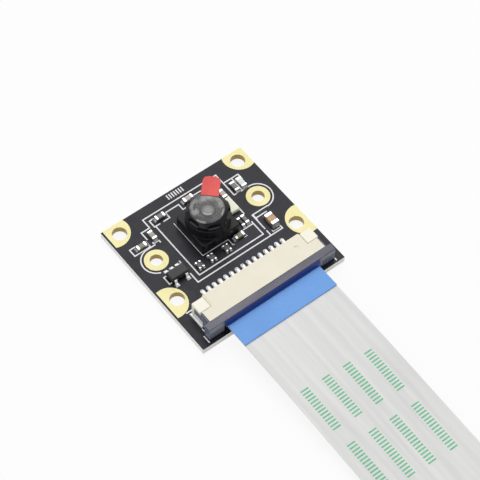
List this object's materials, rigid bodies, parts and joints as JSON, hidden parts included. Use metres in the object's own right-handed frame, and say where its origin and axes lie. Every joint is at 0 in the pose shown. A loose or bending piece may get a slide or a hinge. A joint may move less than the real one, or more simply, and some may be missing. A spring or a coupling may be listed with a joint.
{
  "type": "camera module",
  "caption": "Small board camera: square black circuit board with a turnable lens barrel, gold-ringed holes and a slide-lock connector that holds a flat ribbon cable.",
  "frame": {"origin": "middle of the circuit board's underside", "axes": "+Z the way the lens looks, +X along the ribbon connector, and the ribbon leaves towards -Y"},
  "size_m": [0.0248, 0.1692, 0.0061],
  "materials": {
    "board": "matt black solder mask over glass-fibre laminate",
    "gold": "flat gold plating",
    "ink": "white printed ink",
    "solder": "bright tin",
    "sensor": "dark polished silicon",
    "clear_glass": "clear polished glass",
    "filter_glass": "pale blue coated glass",
    "black_moulding": "fine satin moulding",
    "lens_glass": "coated optical plastic",
    "smoke_film": "smoky clear film",
    "red_film": "red film",
    "cream_moulding": "satin moulding",
    "smoke_moulding": "glossy dark grey moulding",
    "ribbon_film": "pale grey polyester laminate",
    "blue_film": "blue polyester",
    "cream_ceramic": "unglazed ceramic",
    "lamp_resin": "clear resin over a white base",
    "grey_ceramic": "fired ceramic",
    "pink_ceramic": "fired ceramic",
    "tan_ceramic": "fired ceramic",
    "green_ceramic": "fired ceramic",
    "black_ceramic": "fired ceramic",
    "brown_ceramic": "fired ceramic"
  },
  "bodies": {
    "board": {"circuit_board": "board", "corner_pads": "gold", "ring_pads": "gold", "legend": "ink", "solder_joints": "solder", "image_sensor": "sensor", "sensor_glass": "clear_glass", "infrared_filter": "filter_glass", "lens_holder": "black_moulding", "connector_housing": "cream_moulding", "connector_contacts": "solder", "connector_anchors": "solder", "ribbon": "ribbon_film", "near_stiffener": "blue_film", "near_fingers": "solder", "far_stiffener": "blue_film", "far_fingers": "solder", "regulator_body": "black_moulding", "regulator_leads": "solder", "oscillator": "cream_ceramic", "status_lamp": "lamp_resin", "lamp_ends": "solder", "capacitor_1": "grey_ceramic", "capacitor_2": "pink_ceramic", "capacitor_3": "tan_ceramic", "capacitor_4": "green_ceramic", "capacitor_5": "pink_ceramic", "capacitor_6": "grey_ceramic", "capacitor_7": "green_ceramic", "capacitor_8": "tan_ceramic", "capacitor_ends": "solder", "resistor_1": "grey_ceramic", "resistor_2": "black_ceramic", "resistor_ends": "solder", "array_1": "brown_ceramic", "array_2": "brown_ceramic", "array_3": "brown_ceramic", "array_ends": "solder"},
    "slide_lock": {"connector_slider": "smoke_moulding"},
    "lens_unit": {"lens_barrel": "black_moulding", "front_lens": "lens_glass", "middle_lens": "lens_glass", "rear_lens": "lens_glass", "lens_spacer": "black_moulding", "lens_retainer": "black_moulding", "protective_film": "smoke_film", "pull_tab": "red_film"}
  },
  "joints": [
    {"name": "slide_lock_travel", "type": "slide", "parent": "board", "child": "slide_lock", "axis": [0, -1, 0], "range_m": [0, 0.001]},
    {"name": "lens_turn", "type": "hinge", "parent": "board", "child": "lens_unit", "pos_m": [0.00015, 0.00354, 0.003], "axis": [0, 0, 1], "range_deg": [-180, 180]}
  ]
}
